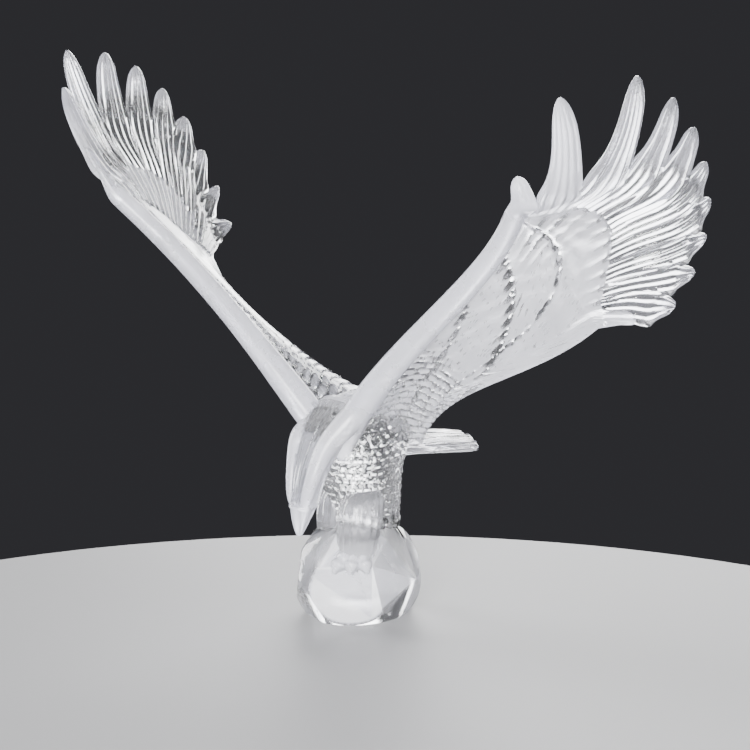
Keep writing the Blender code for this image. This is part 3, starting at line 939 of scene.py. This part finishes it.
def crown_ridge(side):
    """Smooth ridge from the wing's leading edge over the shoulder and down the crown to the brow."""
    sign = -1 if side is RIGHT else 1
    points = [pose(side) @ (bezier(side["leading_edge"], t) * MM) / MM for t in side["ridge_roots"]]
    for place, share in RIDGE_PLACES:
        centre, a, b, depth = head_frame(place / (len(HEAD_STATIONS) - 1))
        aside = ACROSS * sign * (share + side["ridge_offset"]) * a
        points.append(centre + aside + depth * RIDGE_ABOVE * b)
    rings = []
    for r in range(RIDGE_ROWS + 1):
        t = r / RIDGE_ROWS
        ahead = (smooth(points, t + 0.01) - smooth(points, t - 0.01)).normalized()
        broad = ahead.cross(BACK - UP).normalized()
        radius = smooth(RIDGE_RADIUS, t) * math.sqrt(max(1 - ease(0.93, 1, t), 0.02))
        radius *= 1 + (side["ridge_size"] - 1) * ease(0.15, 0.4, t)
        rings.append(circle(smooth(points, t), broad, broad.cross(ahead), radius, RIDGE_COLUMNS))
    return loft("ridge", rings, BAND)


def eye(sign):
    """Small round swelling of clear glass under the brow. The right one misses the head."""
    rings = []
    for r in range(EYE_ROWS + 1):
        angle = math.pi * r / EYE_ROWS
        middle = Vector((sign * (EYE.x + 0.5 * EYE_RADIUS * math.cos(angle)), EYE.y, EYE.z))
        radius = EYE_RADIUS * max(math.sin(angle), 0.05)
        rings.append(circle(middle, BACK, UP, radius, EYE_COLUMNS))
    return loft("eye", rings, CLEAR)


def leg(across, back, size):
    """Feathered thigh with grooves running down it."""
    rings = []
    for r in range(LEG_ROWS + 1):
        y, z, radius = station(LEG_STATIONS, r / LEG_ROWS)
        ring = []
        for angle in turns(LEG_COLUMNS):
            wave = math.cos(angle * LEG_GROOVES + 0.6 * math.sin(z * 0.3))
            reach = radius * size + LEG_GROOVE_DEPTH * wave * ease(2.5, 8, radius)
            x = across + reach * math.cos(angle)
            ring.append(Vector((x, y + back + reach * math.sin(angle), z)))
        rings.append(ring)
    return loft("leg", rings, LEG_FROST)


def toe(across, back, size, tip_x, tip_y):
    """Thick toe with a knuckle, bent over the shoulder of the rock, and its claw."""
    outward = math.copysign(1, across)
    ankle = Vector((across, back + ANKLE_Y, ANKLE_Z))
    tip = Vector((across + outward * tip_x, back + ANKLE_Y + tip_y, TOE_TIP_Z))
    knuckle = (ankle + tip) / 2 + Vector((outward * tip_x / 4, tip_y / 4, KNUCKLE_RISE))
    line = (ankle, knuckle, tip)
    rings = []
    for r in range(TOE_ROWS + 1):
        t = r / TOE_ROWS
        ahead = (bezier(line, t + 0.01) - bezier(line, t - 0.01)).normalized()
        broad = ahead.cross(UP).normalized()
        joints = 0.4 * (bump(t - 0.42, 0.09) + bump(t - 0.72, 0.07)) - 0.3 * bump(t - 0.58, 0.05)
        radius = size * (smooth(TOE_RADII, t) + joints)
        rings.append(circle(bezier(line, t), broad, broad.cross(ahead), radius, TOE_COLUMNS))
    return loft("toe", rings, BAND)


def tail():
    """Closed, arched fan of broad feathers."""
    shapes = []
    for i in range(TAIL_FEATHERS):
        spread = 2 * i / (TAIL_FEATHERS - 1) - 1
        share = spread * spread
        line = []
        for k, (middle, edge) in enumerate(zip(TAIL_MIDDLE, TAIL_EDGE)):
            y = middle[0] + (edge[0] - middle[0]) * share
            z = middle[1] + (edge[1] - middle[1]) * share
            line.append(Vector((TAIL_SPREAD[k] * spread, y, z)))
        shapes.append(tail_feather("tail_%d" % i, line, spread))
    return unite("tail", shapes)


def tail_feather(name, line, spread):
    """Feather along a line, with a raised shaft on top and fine barbs on both faces."""
    rings = []
    roll = Matrix.Rotation(TAIL_ROLL * spread, 3, "Y")
    for r in range(TAIL_ROWS + 1):
        t = 1 - (1 - r / TAIL_ROWS) ** 1.4
        centre = smooth(line, t)
        ahead = (smooth(line, t + 0.01) - smooth(line, t - 0.01)) if t < 1 else line[-1] - line[-2]
        side = (roll @ ahead.cross(UP)).normalized()
        depth = side.cross(ahead).normalized()
        closing = max((t - TAIL_TIP_START) / (1 - TAIL_TIP_START), 0) ** 2.4
        close = math.sqrt(max(1 - closing, 0.02))
        wide = smooth(TAIL_HALF_WIDTHS, t) * close
        thick = smooth(TAIL_HALF_THICKNESSES, t) * (0.4 + 0.6 * close)
        top = []
        under = []
        for i in range(TAIL_COLUMNS + 1):
            x = 1 - 2 * i / TAIL_COLUMNS
            lens = thick * (1 - 0.6 * abs(x) ** 2.2)
            barb = TAIL_BARB_HEIGHT * math.cos(14 * x) * close
            shaft = TAIL_SHAFT_HEIGHT * bump(x, 0.12) * close
            top.append(centre + side * wide * x + depth * (lens + shaft + barb))
            under.append(centre + side * wide * x - depth * (lens + barb))
        rings.append(top + under[::-1])
    return loft(name, rings, SATIN if abs(spread) == 1 else CLEAR)


def rock_swell(angle, z):
    """Unevenness of the rounded rock before its facets are cut."""
    swell = 0.5 * math.sin(3 * angle + 0.12 * z) + 0.35 * math.sin(5 * angle - 0.2 * z)
    fine = math.sin(19 * angle + math.sin(0.9 * z)) * math.sin(1.3 * z + 2 * math.sin(4 * angle))
    return (swell + 0.12 * fine) * ease(2, 10, z) * (1 - ease(30, 37, z))


def rock():
    """Rounded rock with a cloudy skin, chipped to broad flat facets."""
    rings = []
    frost = []
    for r in range(ROCK_ROWS + 1):
        z, a, b = station(ROCK_STATIONS, r / ROCK_ROWS)
        ring = []
        values = []
        for angle in turns(ROCK_COLUMNS):
            swell = rock_swell(angle, z)
            x = (a + swell) * math.cos(angle)
            y = ROCK_MIDDLE_Y + (b + swell) * math.sin(angle)
            ring.append(Vector((x, y, z)))
            cloudy = math.sin(7 * angle + 0.3 * z) * math.sin(0.45 * z + 2 * math.sin(3 * angle))
            values.append(ROCK_FROST * ease(-0.2, 0.8, cloudy))
        rings.append(ring)
        frost.append(values)
    return chip(loft("rock", rings, frost))


def chip(stone):
    """Cut the flat facets; the first, in front, is etched up to a narrow rim."""
    bm = bmesh.new()
    bm.from_mesh(stone.data)
    layer = bm.verts.layers.float[FROST]
    for number, (direction, distance) in enumerate(ROCK_FACETS):
        normal = Vector(direction).normalized()
        place = normal * distance * MM + BACK * ROCK_MIDDLE_Y * MM
        parts = bm.verts[:] + bm.edges[:] + bm.faces[:]
        cut = bmesh.ops.bisect_plane(
            bm, geom=parts, plane_co=place, plane_no=normal, clear_outer=True
        )
        edges = [part for part in cut["geom_cut"] if isinstance(part, bmesh.types.BMEdge)]
        if not edges:
            continue
        facet = bmesh.ops.contextual_create(bm, geom=edges)["faces"]
        if number == 0:
            bmesh.ops.inset_region(bm, faces=facet, thickness=ROCK_RIM * MM)
            for vertex in facet[0].verts:
                vertex[layer] = KNOWN + ETCHED
    bmesh.ops.recalc_face_normals(bm, faces=bm.faces)
    bmesh.ops.triangulate(bm, faces=bm.faces)
    bm.to_mesh(stone.data)
    bm.free()
    heal(stone.data)
    return stone


def eagle():
    """The whole casting."""
    shapes = [trunk(), head(), tail(), rock()]
    for side, sign in ((LEFT, 1), (RIGHT, -1)):
        shapes.append(crown_ridge(side))
        shapes.append(eye(sign))
    for across, back, size in LEGS:
        shapes.append(leg(across, back, size))
        for tip_x, tip_y in TOE_TIPS:
            shapes.append(toe(across, back, size, tip_x, tip_y))
    shapes.append(wing("left_wing", LEFT))
    shapes.append(wing("right_wing", RIGHT))
    return unite("eagle_casting", shapes)


# ---------------------------------------------------------------------------- materials


def noise(nodes, scale, detail):
    """Soft random pattern, the same on every run."""
    node = nodes.new("ShaderNodeTexNoise")
    node.inputs["Scale"].default_value = scale
    node.inputs["Detail"].default_value = detail
    return node


def map_range(nodes, source, result):
    """Node that turns the first pair of values into the second one."""
    node = nodes.new("ShaderNodeMapRange")
    node.inputs["From Min"].default_value = source[0]
    node.inputs["From Max"].default_value = source[1]
    node.inputs["To Min"].default_value = result[0]
    node.inputs["To Max"].default_value = result[1]
    return node


def glass(name, tint, transmission):
    """Cast glass: the frost and a soft cloud set its roughness, and a fine grain covers it."""
    material = bpy.data.materials.new(name)
    material.use_nodes = True
    nodes = material.node_tree.nodes
    links = material.node_tree.links
    shader = nodes["Principled BSDF"]
    shader.inputs["Base Color"].default_value = tint
    shader.inputs["IOR"].default_value = GLASS_IOR
    shader.inputs["Transmission Weight"].default_value = transmission
    place = nodes.new("ShaderNodeTexCoord")
    frost = nodes.new("ShaderNodeAttribute")
    frost.attribute_name = FROST
    cloud = noise(nodes, CLOUD_SCALE, CLOUD_DETAIL)
    uneven = map_range(nodes, CLOUD_RANGE, CLOUD_EFFECT)
    level = map_range(nodes, (KNOWN, KNOWN + 1), ROUGHNESS)
    product = nodes.new("ShaderNodeMath")
    product.operation = "MULTIPLY"
    grain = noise(nodes, GRAIN_SCALE, GRAIN_DETAIL)
    relief = nodes.new("ShaderNodeBump")
    relief.inputs["Distance"].default_value = GRAIN_DEPTH * MM
    links.new(place.outputs["Object"], cloud.inputs["Vector"])
    links.new(place.outputs["Object"], grain.inputs["Vector"])
    links.new(cloud.outputs["Fac"], uneven.inputs["Value"])
    links.new(frost.outputs["Fac"], level.inputs["Value"])
    links.new(uneven.outputs["Result"], product.inputs[0])
    links.new(level.outputs["Result"], product.inputs[1])
    links.new(product.outputs["Value"], shader.inputs["Roughness"])
    links.new(grain.outputs["Fac"], relief.inputs["Height"])
    links.new(relief.outputs["Normal"], shader.inputs["Normal"])
    return material


def finish(casting):
    """Give each face the grade of glass for its frost: the more frost, the less it lets through."""
    mesh = casting.data
    mesh.materials.clear()
    for name, tint, transmission, _ in GLASSES:
        mesh.materials.append(glass(name, tint, transmission))
    store = mesh.attributes[FROST].data
    for face in mesh.polygons:
        average = sum(store[i].value for i in face.vertices) / len(face.vertices) - KNOWN
        face.material_index = sum(1 for grade in GLASSES[1:] if average > grade[3])
    mesh.shade_smooth()
    mesh.set_sharp_from_angle(angle=SHARP_ANGLE)


# -------------------------------------------------------------------------------- stage


def towards_camera(elevation):
    """Direction from the bird at the camera's azimuth."""
    level = Vector((math.sin(CAMERA_AZIMUTH), -math.cos(CAMERA_AZIMUTH), 0))
    return level * math.cos(elevation) + UP * math.sin(elevation)


def aim(thing, target):
    """Turn a lamp or camera to face a point."""
    thing.rotation_euler = (thing.location - target).to_track_quat("Z", "Y").to_euler()


def softbox(name, place, size, power):
    """Rectangular lamp facing the bird."""
    lamp = bpy.data.lights.new(name, "AREA")
    lamp.shape = "RECTANGLE"
    lamp.size, lamp.size_y = size
    lamp.energy = power
    thing = new_object(name, lamp)
    thing.location = place
    aim(thing, LIGHT_TARGET)


def floor():
    """Round pale table top, reaching further towards the camera than away from it."""
    bm = bmesh.new()
    bmesh.ops.create_circle(bm, cap_ends=True, radius=TABLE_RADIUS, segments=TABLE_CORNERS)
    mesh = bpy.data.meshes.new("floor")
    bm.to_mesh(mesh)
    bm.free()
    thing = new_object("floor", mesh)
    thing.location = towards_camera(0) * TABLE_SHIFT
    material = bpy.data.materials.new("pale_floor")
    material.use_nodes = True
    shader = material.node_tree.nodes["Principled BSDF"]
    shader.inputs["Base Color"].default_value = TABLE_COLOUR
    shader.inputs["Roughness"].default_value = TABLE_ROUGHNESS
    mesh.materials.append(material)


def studio():
    """Dark plain surround, which shows the glass, and four softboxes."""
    world = bpy.data.worlds.new("studio")
    bpy.context.scene.world = world
    world.use_nodes = True
    world.node_tree.nodes["Background"].inputs["Color"].default_value = SURROUND_COLOUR
    for name, place, size, power in LIGHTS:
        softbox(name, place, size, power)


def camera():
    """The photograph's viewpoint."""
    lens = bpy.data.cameras.new("camera")
    lens.sensor_width = CAMERA_SENSOR
    lens.lens = CAMERA_LENS
    lens.shift_x, lens.shift_y = CAMERA_SHIFT
    thing = new_object("camera", lens)
    thing.location = CAMERA_TARGET + towards_camera(CAMERA_ELEVATION) * CAMERA_DISTANCE
    aim(thing, CAMERA_TARGET)
    bpy.context.scene.camera = thing


bird = eagle()
finish(bird)
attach(bird, "root")
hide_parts("eagle")
floor()
studio()
camera()
